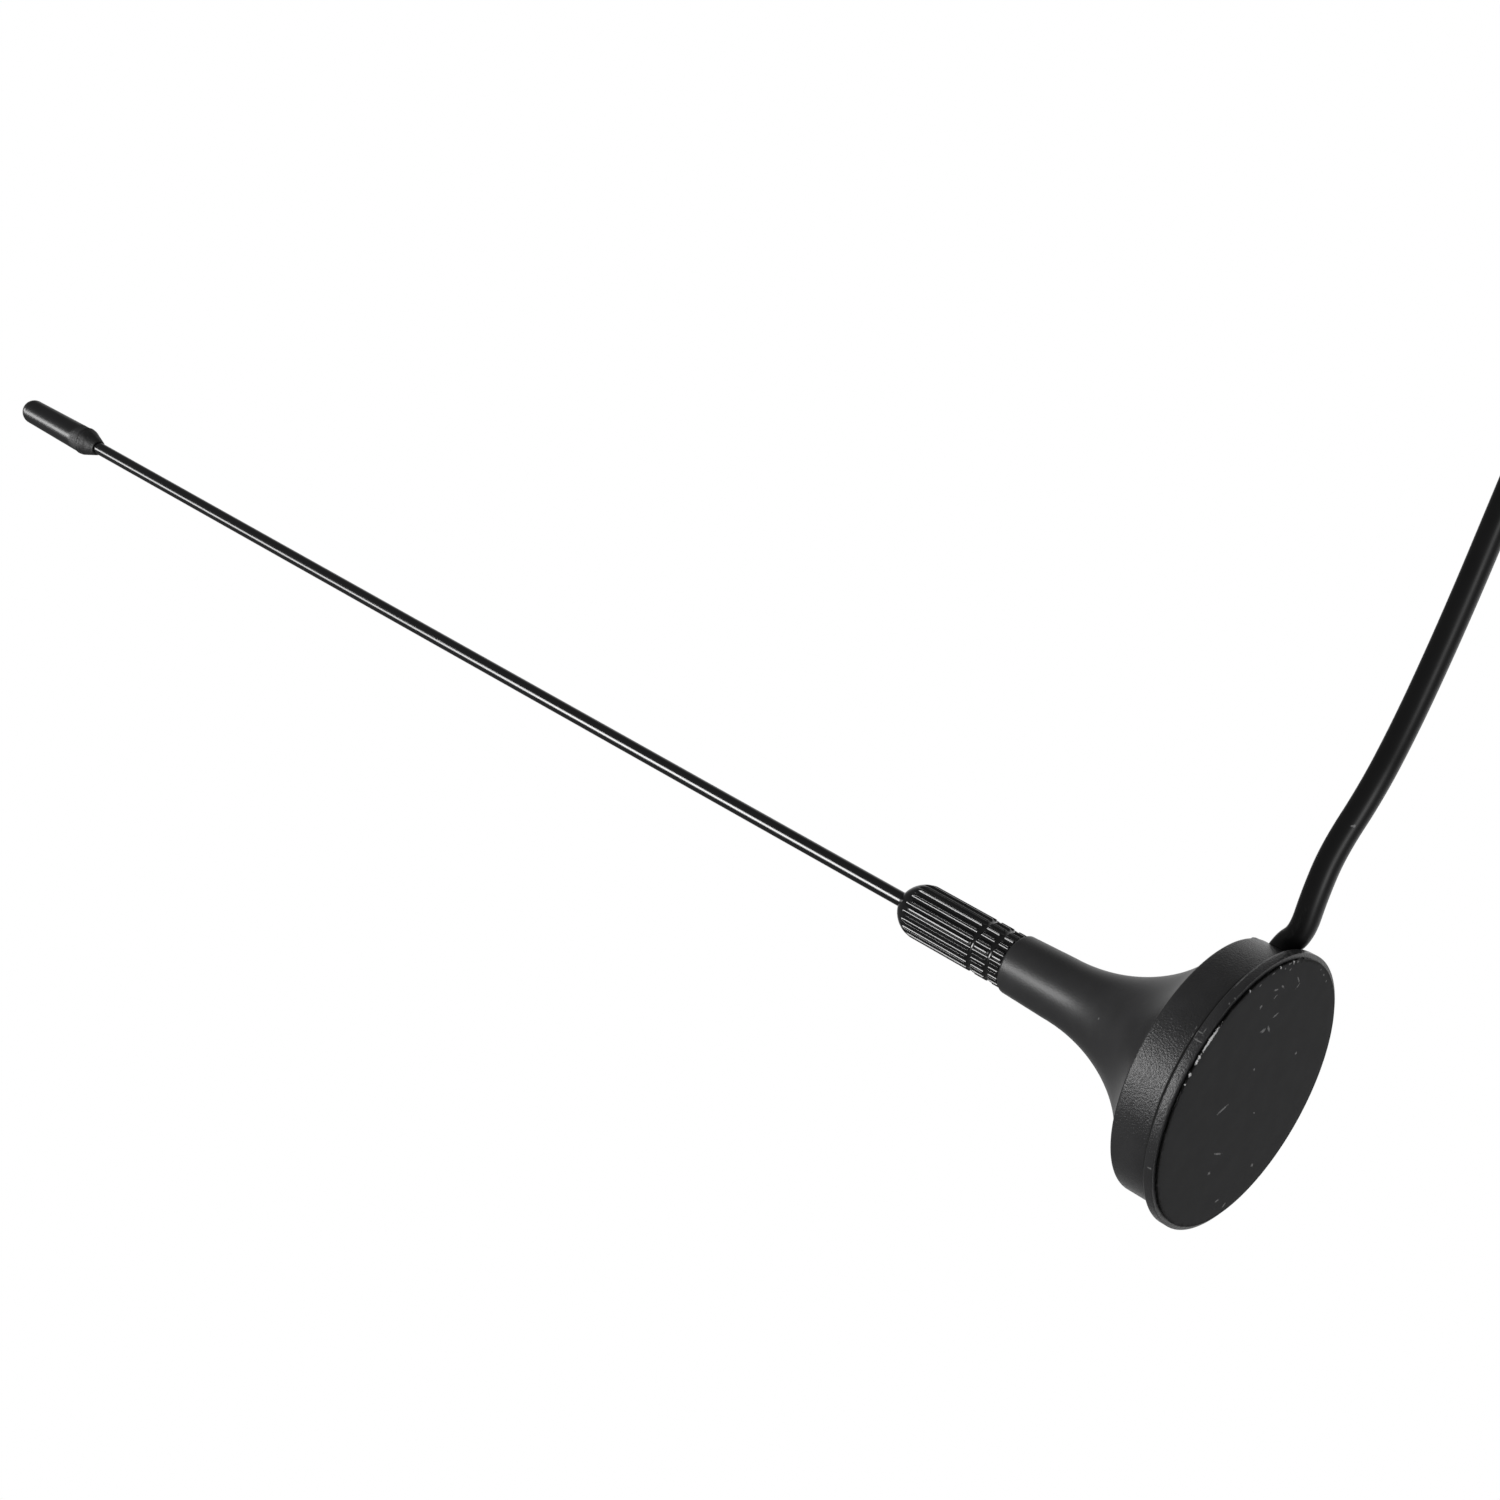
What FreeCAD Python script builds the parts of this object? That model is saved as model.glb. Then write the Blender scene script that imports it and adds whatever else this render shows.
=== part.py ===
import FreeCAD, Part
import math
import os
import re

import Sketcher

# A small television antenna: a whip on a knurled collar, screwed into a trumpet-shaped magnetic base,
# with a thin coax lead that ends in an aerial plug. Lengths are in millimetres. The antenna stands on
# its pad, with the origin under the middle of the base and +Z along the whip.

SIZES = {
    # Moulded base: flange, drum, trumpet and neck, heights above the floor
    "flange_radius": 15.0,
    "flange_thickness": 1.1,
    "flange_edge": 0.3,
    "drum_radius": 13.9,
    "drum_height": 6.2,
    "drum_edge": 0.35,
    "drum_wall": 1.75,
    "neck_foot_radius": 3.48,
    "neck_foot_height": 23.2,
    "neck_top_radius": 3.28,
    "neck_height": 28.9,
    "neck_edge": 0.35,
    "shell_wall": 2.0,
    # Pad stuck under the flange
    "pad_inset": 0.5,
    "pad_thickness": 0.3,
    "pad_edge": 0.2,
    # Ring magnet and the plate on it
    "magnet_clearance": 0.3,
    "magnet_thickness": 2.2,
    "magnet_hole_radius": 4.0,
    "magnet_edge": 0.3,
    "plate_radius": 8.0,
    "plate_thickness": 0.3,
    "plate_hole_radius": 2.5,
    # Brass insert in the neck, with its solder cup below
    "insert_radius": 2.3,
    "insert_clearance": 0.02,
    "insert_length": 9.4,
    "stud_hole_depth": 8.0,
    "cup_radius": 1.1,
    "cup_length": 2.6,
    "cup_bore_radius": 0.5,
    "cup_bore_depth": 2.0,
    # Knurled collar with its stud and whip socket
    "collar_radius": 3.06,
    "collar_length": 15.1,
    "collar_chamfer": 0.3,
    "collar_mouth_radius": 0.97,
    "straight_length": 12.0,
    "flute_count": 22,
    "flute_radius": 0.34,
    "flute_depth": 0.26,
    "ring_groove_width": 0.72,
    "ring_groove_depth": 0.5,
    "lower_groove_height": 1.71,
    "upper_groove_height": 4.03,
    "stud_radius": 1.45,
    "stud_length": 7.0,
    "stud_clearance": 0.05,
    "socket_depth": 9.0,
    # Whip wire and the cap on its end
    "whip_radius": 0.81,
    "whip_length": 165.0,
    "whip_clearance": 0.02,
    "cap_cover": 14.6,
    "cap_end": 2.7,
    "cap_mouth_radius": 1.02,
    "cap_skirt_radius": 1.85,
    "cap_skirt_height": 3.6,
    "cap_waist_height": 4.9,
    "cap_waist_radius": 1.76,
    "cap_tip_radius": 1.62,
    "cap_dome_height": 1.75,
    # Coax lead: jacket, dielectric core, wire and screen
    "cable_radius": 1.35,
    "cable_height": 4.3,
    "cable_start": 11.9,
    "slot_clearance": 0.1,
    "jacket_end": 9.0,
    "core_radius": 0.75,
    "core_gap": 1.3,
    "wire_radius": 0.25,
    "solder_drop": 0.6,
    "solder_radius": 0.9,
    "braid_radius": 0.28,
    "ground_joint_x": 6.0,
    "ground_joint_y": 2.6,
    "ground_dome_radius": 1.1,
    "ground_dome_height": 0.9,
    # Coil of the put-away length and the band round it
    "coil_x": 91.0,
    "coil_y": 4.55,
    "coil_middle_radius": 15.5,
    "coil_columns": 4,
    "coil_rows": 3,
    "tie_thickness": 0.4,
    "tie_gap": 0.05,
    "tie_angle": 16.0,
    # Aerial plug, lengths from its cable end
    "plug_x": 94.0,
    "plug_y": 31.6,
    "relief_back_radius": 2.1,
    "relief_front_radius": 2.9,
    "relief_length": 8.0,
    "relief_groove_width": 0.9,
    "relief_groove_depth": 0.55,
    "grip_radius": 5.5,
    "grip_length": 20.0,
    "grip_edge": 0.9,
    "grip_groove_width": 1.0,
    "grip_groove_depth": 0.45,
    "shell_radius": 4.76,
    "shell_thickness": 0.45,
    "shell_reach": 9.0,
    "shell_seat": 3.0,
    "shell_lip": 0.25,
    "shell_step": 0.2,
    "plug_clearance": 0.02,
    "insulator_thickness": 3.4,
    "pin_radius": 1.17,
    "pin_setback": 0.6,
}
RELIEF_GROOVES = 3
GRIP_GROOVES = 4

doc = FreeCAD.newDocument("whip_antenna")
sheet = doc.addObject("Spreadsheet::Sheet", "sizes")
for row, (alias, number) in enumerate(SIZES.items(), start=1):
    sheet.set(f"A{row}", alias)
    sheet.set(f"B{row}", str(number))
    sheet.setAlias(f"B{row}", alias)
doc.recompute()

nodes = []
cuts = []


def bound(text):
    """Expression text with every size's name pointed at the sheet."""
    return re.sub(r"[a-z_]+", lambda word: f"sizes.{word[0]}" if word[0] in SIZES else word[0], text)


def value(text):
    """Number that an expression comes to at the present sizes."""
    return float(sheet.evalExpression(bound(text)))


def keep(item, label):
    """Names a finished sub-part and lists it for export."""
    item.Label = label
    nodes.append(item)
    return item


def origin_feature(body, role):
    """One of a body's own origin planes or axes."""
    return next(item for item in body.Origin.OriginFeatures if item.Role == role)


def new_sketch(body, plane, height="0"):
    """Sketch on an origin plane of the body, lifted along the plane's normal."""
    sketch = body.newObject("Sketcher::SketchObject", body.Name + "_sketch")
    sketch.AttachmentSupport = [(origin_feature(body, plane), "")]
    sketch.MapMode = "FlatFace"
    if height != "0":
        sketch.setExpression("AttachmentOffset.Base.z", bound(height))
    return sketch


def pin_point(sketch, edge, end, across, up):
    """Ties one end of an edge to its two coordinates; a zero lies on the sketch's own axis."""
    for kind, axis, text in (("DistanceX", -2, across), ("DistanceY", -1, up)):
        if text == "0":
            sketch.addConstraint(Sketcher.Constraint("PointOnObject", edge, end, axis))
            continue
        at = sketch.addConstraint(Sketcher.Constraint(kind, -1, 1, edge, end, value(text)))
        sketch.setExpression(f"Constraints[{at}]", bound(text))


def outline(sketch, corners):
    """Closed outline. A corner is (across, up), or (across, up, radius, side) where an arc follows
    it, with its centre to the left of the way round for side 1 and to the right for side -1."""
    spots = [FreeCAD.Vector(value(corner[0]), value(corner[1]), 0) for corner in corners]
    edges = []
    for corner, start, end in zip(corners, spots, spots[1:] + spots[:1]):
        if len(corner) == 2:
            edge = sketch.addGeometry(Part.LineSegment(start, end))
            edges.append((edge, 1, 2))
            continue
        radius, side = value(corner[2]), corner[3]
        chord = end - start
        left = FreeCAD.Vector(-chord.y, chord.x, 0).normalize() * side
        middle = (start + end) * 0.5
        centre = middle + left * math.sqrt(max(radius ** 2 - (chord.Length / 2) ** 2, 0))
        opening, closing = (start, end) if side == 1 else (end, start)
        edge = sketch.addGeometry(Part.ArcOfCircle(
            Part.Circle(centre, FreeCAD.Vector(0, 0, 1), radius),
            math.atan2(opening.y - centre.y, opening.x - centre.x),
            math.atan2(closing.y - centre.y, closing.x - centre.x)))
        edges.append((edge, 1, 2) if side == 1 else (edge, 2, 1))
    for (edge, first, last), (after, begin, finish) in zip(edges, edges[1:] + edges[:1]):
        sketch.addConstraint(Sketcher.Constraint("Coincident", edge, last, after, begin))
    for corner, (edge, first, last) in zip(corners, edges):
        pin_point(sketch, edge, first, corner[0], corner[1])
        if len(corner) > 2:
            at = sketch.addConstraint(Sketcher.Constraint("Radius", edge, value(corner[2])))
            sketch.setExpression(f"Constraints[{at}]", bound(corner[2]))


def turned(label, corners, angle="360", hole=None):
    """Body turned about Z from an outline in the XZ plane, with an inner outline where it is hollow."""
    body = doc.addObject("PartDesign::Body", label)
    sketch = new_sketch(body, "XZ_Plane")
    outline(sketch, corners)
    if hole:
        outline(sketch, hole)
    turn = body.newObject("PartDesign::Revolution", label + "_turn")
    turn.Profile = sketch
    turn.ReferenceAxis = (sketch, ["V_Axis"])
    turn.Midplane = True
    turn.setExpression("Angle", bound(angle))
    sketch.Visibility = False
    return body


def grooved(body, *rings):
    """Cuts rings round Z, each given as an outline in the XZ plane."""
    sketch = new_sketch(body, "XZ_Plane")
    for ring in rings:
        outline(sketch, ring)
    groove = body.newObject("PartDesign::Groove", body.Name + "_groove")
    groove.Profile = sketch
    groove.ReferenceAxis = (sketch, ["V_Axis"])
    groove.Angle = 360
    cuts.append(groove)
    return groove


def box_outline(low_across, high_across, low_up, high_up):
    """Corners of a plain rectangle."""
    return [(low_across, low_up), (high_across, low_up), (high_across, high_up), (low_across, high_up)]


def rounded_outline(low_across, high_across, low_up, high_up, round_by):
    """Corners of a rectangle with rounded corners."""
    return [
        (f"{low_across} + {round_by}", low_up),
        (f"{high_across} - {round_by}", low_up, round_by, 1),
        (high_across, f"{low_up} + {round_by}"),
        (high_across, f"{high_up} - {round_by}", round_by, 1),
        (f"{high_across} - {round_by}", high_up),
        (f"{low_across} + {round_by}", high_up, round_by, 1),
        (low_across, f"{high_up} - {round_by}"),
        (low_across, f"{low_up} + {round_by}", round_by, 1),
    ]


def rod(name, radius, length, x="0", y="0", z="0", along=FreeCAD.Vector(0, 0, 1)):
    """Round bar from a point, along an axis."""
    bar = doc.addObject("Part::Cylinder", name)
    bar.setExpression("Radius", bound(radius))
    bar.setExpression("Height", bound(length))
    bar.Placement.Rotation = FreeCAD.Rotation(FreeCAD.Vector(0, 0, 1), along)
    for axis, text in (("x", x), ("y", y), ("z", z)):
        bar.setExpression(f"Placement.Base.{axis}", bound(text))
    return bar


def cut(name, base, tool):
    """One shape taken out of another."""
    taken = doc.addObject("Part::Cut", name)
    taken.Base = base
    taken.Tool = tool
    return taken


def tube(name, route, radius):
    """Round cable along straight runs, each corner an arc as large as its shorter run allows."""
    legs = [end - start for start, end in zip(route, route[1:])]
    path = []
    length = 0.0
    radii = []
    here = route[0]
    for corner, before, after in zip(route[1:-1], legs, legs[1:]):
        half_turn = before.getAngle(after) / 2
        setback = 0.45 * min(before.Length, after.Length)
        bend = setback / math.tan(half_turn)
        radii.append(bend)
        into = FreeCAD.Vector(before).normalize()
        out = FreeCAD.Vector(after).normalize()
        start, end = corner - into * setback, corner + out * setback
        inward = FreeCAD.Vector(out - into).normalize()
        crest = corner + inward * (bend / math.cos(half_turn) - bend)
        path.append(Part.LineSegment(here, start).toShape())
        path.append(Part.Arc(start, crest, end).toShape())
        here = end
    path.append(Part.LineSegment(here, route[-1]).toShape())
    wire = Part.Wire(path)
    ring = Part.Wire([Part.makeCircle(radius, route[0], legs[0])])
    solid = Part.Solid(wire.makePipeShell([ring], True, False).Shells[0])
    expected = math.pi * radius ** 2 * wire.Length
    if abs(solid.Volume - expected) > 0.002 * expected:
        raise RuntimeError(f"{name}: volume {solid.Volume:.2f}, section times length {expected:.2f}")
    print(name, f"length {wire.Length:.1f}", "bend radii", [round(bend, 1) for bend in radii])
    feature = doc.addObject("Part::Feature", name)
    feature.Shape = solid
    return feature


# Base housing: a trumpet shell of even wall. Its outer arc leaves the neck upright and ends at the
# drum's top edge, and the inner arc has the same centre.
flange_top = "(pad_thickness + flange_thickness)"
cavity_radius = "(drum_radius - drum_wall)"
trumpet_rise = "(neck_foot_height - drum_height)"
trumpet_reach = "(drum_radius - drum_edge - neck_foot_radius)"
trumpet_radius = f"(({trumpet_rise}^2 + {trumpet_reach}^2) / (2 * {trumpet_reach}))"
trumpet_centre = f"(neck_foot_radius + {trumpet_radius})"
inner_radius = f"({trumpet_radius} + shell_wall)"
insert_seat = "(neck_height - insert_length)"
insert_pocket = "(insert_radius + insert_clearance)"
bore_at_seat = f"({trumpet_centre} - sqrt({inner_radius}^2 - (neck_foot_height - {insert_seat})^2))"
cavity_top = f"(neck_foot_height - sqrt({inner_radius}^2 - ({trumpet_centre} - {cavity_radius})^2))"
housing = turned("base_housing", [
    (cavity_radius, "pad_thickness"),
    ("flange_radius - flange_edge", "pad_thickness", "flange_edge", 1),
    ("flange_radius", "pad_thickness + flange_edge"),
    ("flange_radius", f"{flange_top} - flange_edge", "flange_edge", 1),
    ("flange_radius - flange_edge", flange_top),
    ("drum_radius", flange_top),
    ("drum_radius", "drum_height - drum_edge", "drum_edge", 1),
    ("drum_radius - drum_edge", "drum_height", trumpet_radius, -1),
    ("neck_foot_radius", "neck_foot_height"),
    ("neck_top_radius", "neck_height - neck_edge", "neck_edge", 1),
    ("neck_top_radius - neck_edge", "neck_height"),
    (insert_pocket, "neck_height"),
    (insert_pocket, insert_seat),
    (bore_at_seat, insert_seat, inner_radius, 1),
    (cavity_radius, cavity_top),
])

# Arched slot in the drum's wall, from the flange up over the cable
slot_half = "(cable_radius + slot_clearance)"
slot_sketch = new_sketch(housing, "YZ_Plane")
outline(slot_sketch, [
    (f"-{slot_half}", flange_top),
    (slot_half, flange_top),
    (slot_half, "cable_height", slot_half, 1),
    ("0", f"cable_height + {slot_half}", slot_half, 1),
    (f"-{slot_half}", "cable_height"),
])
slot = housing.newObject("PartDesign::Pocket", "cable_slot")
slot.Profile = slot_sketch
slot.Reversed = True
slot.setExpression("Length", bound("flange_radius"))
cuts.append(slot)
keep(housing, "base_housing")

# Pad under the flange, its lower edge worn round
pad_radius = "(flange_radius - pad_inset)"
keep(turned("base_pad", [
    ("0", "0"),
    (f"{pad_radius} - pad_edge", "0", "pad_edge", 1),
    (pad_radius, "pad_edge"),
    (pad_radius, "pad_thickness"),
    ("0", "pad_thickness"),
]), "base_pad")

# Ring magnet on the pad, and the steel plate on the magnet
magnet_radius = f"({cavity_radius} - magnet_clearance)"
magnet_top = "(pad_thickness + magnet_thickness)"
keep(turned("magnet", [
    ("magnet_hole_radius", "pad_thickness"),
    (f"{magnet_radius} - magnet_edge", "pad_thickness"),
    (magnet_radius, "pad_thickness + magnet_edge"),
    (magnet_radius, f"{magnet_top} - magnet_edge"),
    (f"{magnet_radius} - magnet_edge", magnet_top),
    ("magnet_hole_radius", magnet_top),
]), "magnet")
plate_top = f"({magnet_top} + plate_thickness)"
plate_disc = rod("plate_disc", "plate_radius", "plate_thickness", z=magnet_top)
plate_hole = rod("plate_hole", "plate_hole_radius", "plate_thickness", z=magnet_top)
keep(cut("plate_cut", plate_disc, plate_hole), "ground_plate")

# Brass insert: bored for the stud from above and for the wire from below
stud_hole = "(stud_radius + stud_clearance)"
cup_bottom = f"({insert_seat} - cup_length)"
keep(turned("neck_insert", [
    (stud_hole, "neck_height"),
    (stud_hole, "neck_height - stud_hole_depth"),
    ("0", "neck_height - stud_hole_depth"),
    ("0", f"{cup_bottom} + cup_bore_depth"),
    ("cup_bore_radius", f"{cup_bottom} + cup_bore_depth"),
    ("cup_bore_radius", cup_bottom),
    ("cup_radius", cup_bottom),
    ("cup_radius", insert_seat),
    ("insert_radius", insert_seat),
    ("insert_radius", "neck_height"),
]), "neck_insert")

# Collar: stud, straight body with a bevelled foot, and a rounded shoulder up to the whip
collar_top = "(neck_height + collar_length)"
shoulder_foot = "(neck_height + straight_length)"
shoulder_rise = "(collar_length - straight_length)"
shoulder_reach = "(collar_radius - collar_mouth_radius)"
shoulder_radius = f"(({shoulder_rise}^2 + {shoulder_reach}^2) / (2 * {shoulder_reach}))"
socket_radius = "(whip_radius + whip_clearance)"
socket_floor = f"({collar_top} - socket_depth)"
collar = turned("whip_collar", [
    ("0", "neck_height - stud_length"),
    ("stud_radius", "neck_height - stud_length"),
    ("stud_radius", "neck_height"),
    ("collar_radius - collar_chamfer", "neck_height"),
    ("collar_radius", "neck_height + collar_chamfer"),
    ("collar_radius", shoulder_foot, shoulder_radius, 1),
    ("collar_mouth_radius", collar_top),
    (socket_radius, collar_top),
    (socket_radius, socket_floor),
    ("0", socket_floor),
])

# One flute of the knurl, which runs out on the shoulder, then the same all round
flute_sketch = new_sketch(collar, "XY_Plane", collar_top)
flute_centre = "collar_radius + flute_radius - flute_depth"
flute_ring = flute_sketch.addGeometry(
    Part.Circle(FreeCAD.Vector(value(flute_centre), 0, 0), FreeCAD.Vector(0, 0, 1), value("flute_radius")))
pin_point(flute_sketch, flute_ring, 3, flute_centre, "0")
flute_size = flute_sketch.addConstraint(Sketcher.Constraint("Radius", flute_ring, value("flute_radius")))
flute_sketch.setExpression(f"Constraints[{flute_size}]", bound("flute_radius"))
flute = collar.newObject("PartDesign::Pocket", "flute")
flute.Profile = flute_sketch
flute.setExpression("Length", bound("collar_length"))
cuts.append(flute)
knurl = collar.newObject("PartDesign::PolarPattern", "knurl")
knurl.Originals = [flute]
knurl.Axis = (origin_feature(collar, "Z_Axis"), [""])
knurl.Angle = 360
knurl.setExpression("Occurrences", bound("flute_count"))
collar.Tip = knurl

# Two ring grooves turned through the knurl
groove_floor = "collar_radius - ring_groove_depth"
groove_mouth = "collar_radius + ring_groove_depth"
grooved(collar, *[
    box_outline(groove_floor, groove_mouth,
                f"neck_height + {middle} - ring_groove_width / 2",
                f"neck_height + {middle} + ring_groove_width / 2")
    for middle in ("lower_groove_height", "upper_groove_height")
])
keep(collar, "whip_collar")

# Whip: a straight wire seated in the collar's socket
keep(rod("whip", "whip_radius", "whip_length", z=socket_floor), "whip_rod")

# Cap: flared skirt drawn in to the wire below, slim body and domed end above
whip_top = f"({socket_floor} + whip_length)"
cap_mouth = f"({whip_top} - cap_cover)"
cap_top = f"({whip_top} + cap_end)"
dome_radius = "((cap_tip_radius^2 + cap_dome_height^2) / (2 * cap_dome_height))"
keep(turned("tip_cap", [
    (socket_radius, cap_mouth),
    ("cap_mouth_radius", cap_mouth),
    ("cap_skirt_radius", f"{cap_mouth} + cap_skirt_height"),
    ("cap_waist_radius", f"{cap_mouth} + cap_waist_height"),
    ("cap_tip_radius", f"{cap_top} - cap_dome_height", dome_radius, 1),
    ("0", cap_top),
    ("0", whip_top),
    (socket_radius, whip_top),
]), "tip_cap")

# Jacketed end of the coax inside the wall
keep(rod("tail", "cable_radius", "cable_start - jacket_end", x="jacket_end", z="cable_height",
         along=FreeCAD.Vector(1, 0, 0)), "cable_tail")

# Bare core from the jacket to the middle and up the neck, then the wire into the solder cup
core_top = f"({cup_bottom} - core_gap)"
cable_height = value("cable_height")
jacket_end = value("jacket_end")
keep(tube("core", [
    FreeCAD.Vector(jacket_end, 0, cable_height),
    FreeCAD.Vector(0, 0, cable_height),
    FreeCAD.Vector(0, 0, value(core_top)),
], value("core_radius")), "feed_core")
wire_top = f"({cup_bottom} + cup_bore_depth)"
keep(rod("wire", "wire_radius", f"{wire_top} - {core_top}", z=core_top), "feed_wire")
keep(turned("feed_solder", [
    ("wire_radius", f"{cup_bottom} - solder_drop"),
    ("solder_radius", cup_bottom),
    ("cup_bore_radius", cup_bottom),
    ("cup_bore_radius", wire_top),
    ("wire_radius", wire_top),
]), "feed_solder")

# Twisted screen from the jacket's end down to the plate, under a dome of solder
braid_radius = value("braid_radius")
braid_side = (value("core_radius") + value("cable_radius")) / 2
ground_joint = FreeCAD.Vector(value("ground_joint_x"), value("ground_joint_y"), value(plate_top) + braid_radius)
braid = keep(tube("braid", [
    FreeCAD.Vector(jacket_end, braid_side, cable_height),
    FreeCAD.Vector(jacket_end - 3 * braid_radius, braid_side, cable_height),
    ground_joint + FreeCAD.Vector(3 * braid_radius, -braid_radius, 0),
    ground_joint,
], braid_radius), "braid_pigtail")
ground_round = "((ground_dome_radius^2 + ground_dome_height^2) / (2 * ground_dome_height))"
dome = turned("ground_dome", [
    ("0", "0"),
    ("ground_dome_radius", "0", ground_round, 1),
    ("0", "ground_dome_height"),
])
for axis, text in (("x", "ground_joint_x"), ("y", "ground_joint_y"), ("z", plate_top)):
    dome.setExpression(f"Placement.Base.{axis}", bound(text))
keep(cut("ground_cut", dome, braid), "ground_solder")

# Lead on the floor: out of the slot, down over the flange and away, then into the coil's outer turn
cable_radius = value("cable_radius")
coil_low = value("tie_thickness") + cable_radius
lead = keep(tube("lead", [
    FreeCAD.Vector(value("cable_start"), 0, cable_height),
    FreeCAD.Vector(14.3, 0, cable_height),
    FreeCAD.Vector(16.1, -0.8, 2.75),
    FreeCAD.Vector(20.0, -2.9, 2.6),
    FreeCAD.Vector(24.6, -4.3, 2.5),
    FreeCAD.Vector(31.2, -5.7, cable_radius),
    FreeCAD.Vector(38.0, -6.0, cable_radius),
    FreeCAD.Vector(45.0, -7.1, cable_radius),
    FreeCAD.Vector(52.0, -8.6, cable_radius),
    FreeCAD.Vector(60.0, -10.7, cable_radius),
    FreeCAD.Vector(70.0, -13.3, cable_radius),
    FreeCAD.Vector(81.0, -15.0, coil_low),
    FreeCAD.Vector(91.0, -15.0, coil_low),
], cable_radius), "free_cable")

# Stretch from the coil's outer turn round to the back of the plug
grip_radius = value("grip_radius")
plug_back = FreeCAD.Vector(value("plug_x"), value("plug_y"), grip_radius)
plug_lead = keep(tube("end_lead", [
    FreeCAD.Vector(110.25, 1.2, coil_low + 2 * cable_radius),
    FreeCAD.Vector(111.8, 10.5, coil_low + 2 * cable_radius),
    FreeCAD.Vector(111.0, 20.5, 4.6),
    FreeCAD.Vector(106.8, 28.0, 5.1),
    plug_back + FreeCAD.Vector(7.4, 0, 0),
    plug_back,
], cable_radius), "plug_lead")

# Coil: the outer shape of its turns, with the lead and the plug's stretch let into it
coil_half = "(coil_columns * cable_radius)"
coil_rise = "(2 * coil_rows * cable_radius)"
coil = turned("coil_turns", rounded_outline(
    f"coil_middle_radius - {coil_half}", f"coil_middle_radius + {coil_half}",
    "tie_thickness", f"tie_thickness + {coil_rise}", "cable_radius"))
tie_low = "(tie_thickness - tie_gap)"
tie_high = f"(tie_thickness + {coil_rise} + tie_gap)"
tie_in = f"(coil_middle_radius - {coil_half} - tie_gap)"
tie_out = f"(coil_middle_radius + {coil_half} + tie_gap)"
tie_wall = "(tie_thickness - tie_gap)"
tie = turned("tie_band", rounded_outline(
    f"{tie_in} - {tie_wall}", f"{tie_out} + {tie_wall}", f"{tie_low} - {tie_wall}",
    f"{tie_high} + {tie_wall}", "cable_radius"), "tie_angle",
    rounded_outline(tie_in, tie_out, tie_low, tie_high, "cable_radius"))
tie.Placement.Rotation = FreeCAD.Rotation(FreeCAD.Vector(0, 0, 1), 90)
for item in (coil, tie):
    item.setExpression("Placement.Base.x", bound("coil_x"))
    item.setExpression("Placement.Base.y", bound("coil_y"))
coil_open = cut("coil_cut", coil, lead)
keep(cut("coil_cut_end", coil_open, plug_lead), "cable_coil")
keep(tie, "cable_tie")

# Plug: moulded grip with a ribbed strain relief behind it
grip_front = "(relief_length + grip_length)"
shell_back = f"({grip_front} - shell_seat)"
shell_tail = "(shell_radius - shell_step)"
shell_pocket = f"({shell_tail} + plug_clearance)"
grip = turned("plug_grip", [
    ("0", "0"),
    ("relief_back_radius", "0"),
    ("relief_front_radius", "relief_length"),
    ("grip_radius - grip_edge", "relief_length", "grip_edge", 1),
    ("grip_radius", "relief_length + grip_edge"),
    ("grip_radius", f"{grip_front} - grip_edge / 2", "grip_edge / 2", 1),
    ("grip_radius - grip_edge / 2", grip_front),
    (shell_pocket, grip_front),
    (shell_pocket, shell_back),
    ("0", shell_back),
])
grooved(grip, *[
    box_outline("relief_back_radius - relief_groove_depth / 2", "grip_radius - grip_edge",
                f"relief_length * {index + 1} / {RELIEF_GROOVES + 1} - relief_groove_width / 2",
                f"relief_length * {index + 1} / {RELIEF_GROOVES + 1} + relief_groove_width / 2")
    for index in range(RELIEF_GROOVES)
])
grooved(grip, *[
    box_outline("grip_radius - grip_groove_depth", "grip_radius + grip_groove_depth",
                f"relief_length + grip_length * {index + 1} / {GRIP_GROOVES + 1} - grip_groove_width / 2",
                f"relief_length + grip_length * {index + 1} / {GRIP_GROOVES + 1} + grip_groove_width / 2")
    for index in range(GRIP_GROOVES)
])

# Barrel, insulating disc and centre pin
shell_front = f"({grip_front} + shell_reach)"
shell_bore = "(shell_radius - shell_thickness)"
barrel = turned("plug_shell", [
    (shell_bore, shell_back),
    (shell_tail, shell_back),
    (shell_tail, grip_front),
    ("shell_radius", grip_front),
    ("shell_radius", f"{shell_front} - shell_lip"),
    ("shell_radius - shell_lip", shell_front),
    (shell_bore, shell_front),
])
pin_hole = "(pin_radius + plug_clearance)"
insulator = turned("plug_insulator", [
    (pin_hole, shell_back),
    (f"{shell_bore} - plug_clearance", shell_back),
    (f"{shell_bore} - plug_clearance", f"{shell_back} + insulator_thickness"),
    (pin_hole, f"{shell_back} + insulator_thickness"),
])
pin_front = f"({shell_front} - pin_setback)"
pin = turned("plug_pin", [
    ("0", shell_back),
    ("pin_radius", shell_back),
    ("pin_radius", f"{pin_front} - pin_radius", "pin_radius", 1),
    ("0", pin_front),
])
for item, label in ((grip, "plug_grip"), (barrel, "plug_shell"), (insulator, "plug_insulator"), (pin, "plug_pin")):
    item.Placement.Rotation = FreeCAD.Rotation(FreeCAD.Vector(0, 0, 1), FreeCAD.Vector(-1, 0, 0))
    for axis, text in (("x", "plug_x"), ("y", "plug_y"), ("z", "grip_radius")):
        item.setExpression(f"Placement.Base.{axis}", bound(text))
    keep(item, label)

doc.recompute()

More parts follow.
